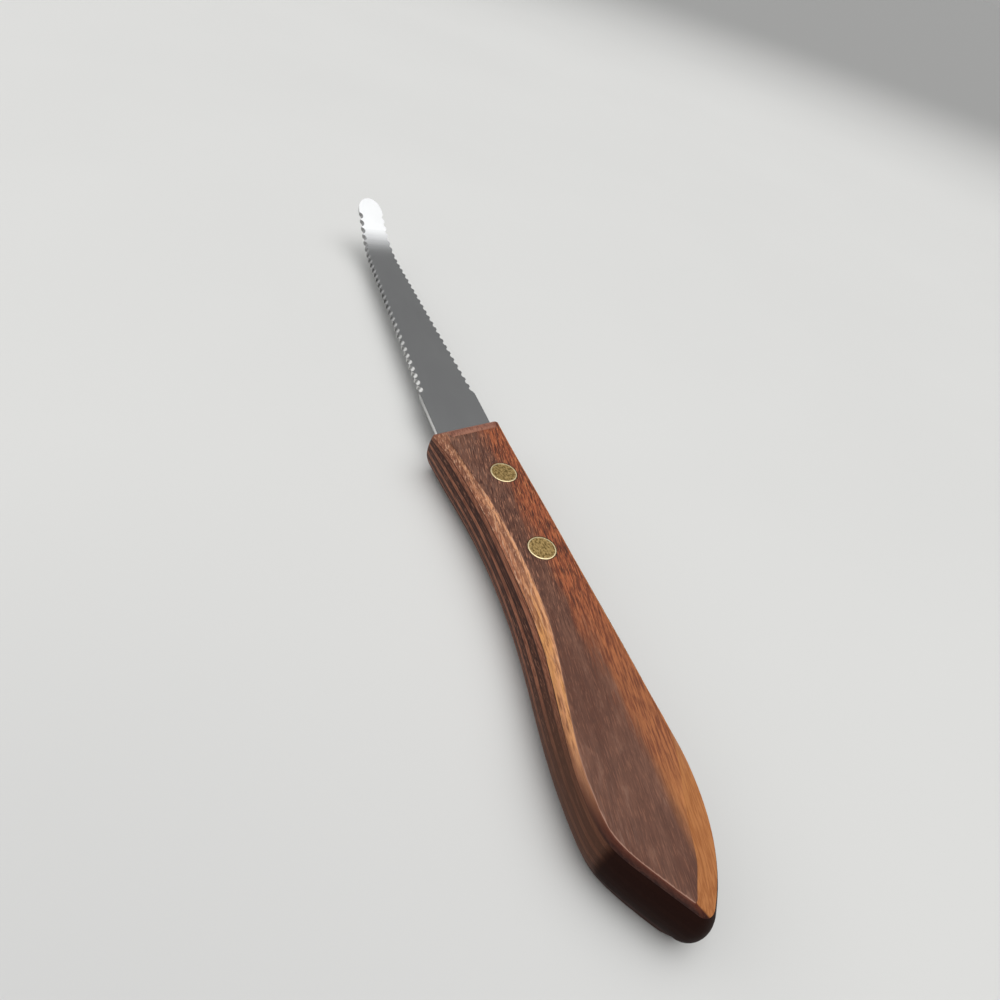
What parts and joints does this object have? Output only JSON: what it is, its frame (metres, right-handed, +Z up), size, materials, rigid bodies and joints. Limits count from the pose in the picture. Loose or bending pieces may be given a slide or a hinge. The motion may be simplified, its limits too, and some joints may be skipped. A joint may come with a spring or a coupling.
{
  "type": "grapefruit knife",
  "caption": "Kitchen knife with a narrow blade toothed along both edges and turned up at its rounded tip, riveted into a curved handle of laminated wood.",
  "frame": {"origin": "on the table under the middle of the whole knife's box, the knife lying on the flat of its handle", "axes": "+X along the knife towards the tip, +Y towards the finger side of the handle, +Z up, the way the tip turns"},
  "size_m": [0.208, 0.0216, 0.0141],
  "materials": {
    "face_wood": "oiled, fine straight grain",
    "dark_wood": "oiled, fine straight grain",
    "light_wood": "oiled, fine straight grain",
    "blade_steel": "satin",
    "rivet_brass": "polished, lightly tarnished"
  },
  "bodies": {
    "root": {"ply_1": "face_wood", "ply_2": "light_wood", "ply_3": "dark_wood", "ply_4": "light_wood", "ply_5": "dark_wood", "core_ply": "light_wood", "ply_7": "dark_wood", "ply_8": "light_wood", "ply_9": "dark_wood", "ply_10": "light_wood", "ply_11": "face_wood", "blade": "blade_steel", "front_rivet_pin": "rivet_brass", "front_rivet_tube": "rivet_brass", "rear_rivet_pin": "rivet_brass", "rear_rivet_tube": "rivet_brass"}
  },
  "joints": []
}
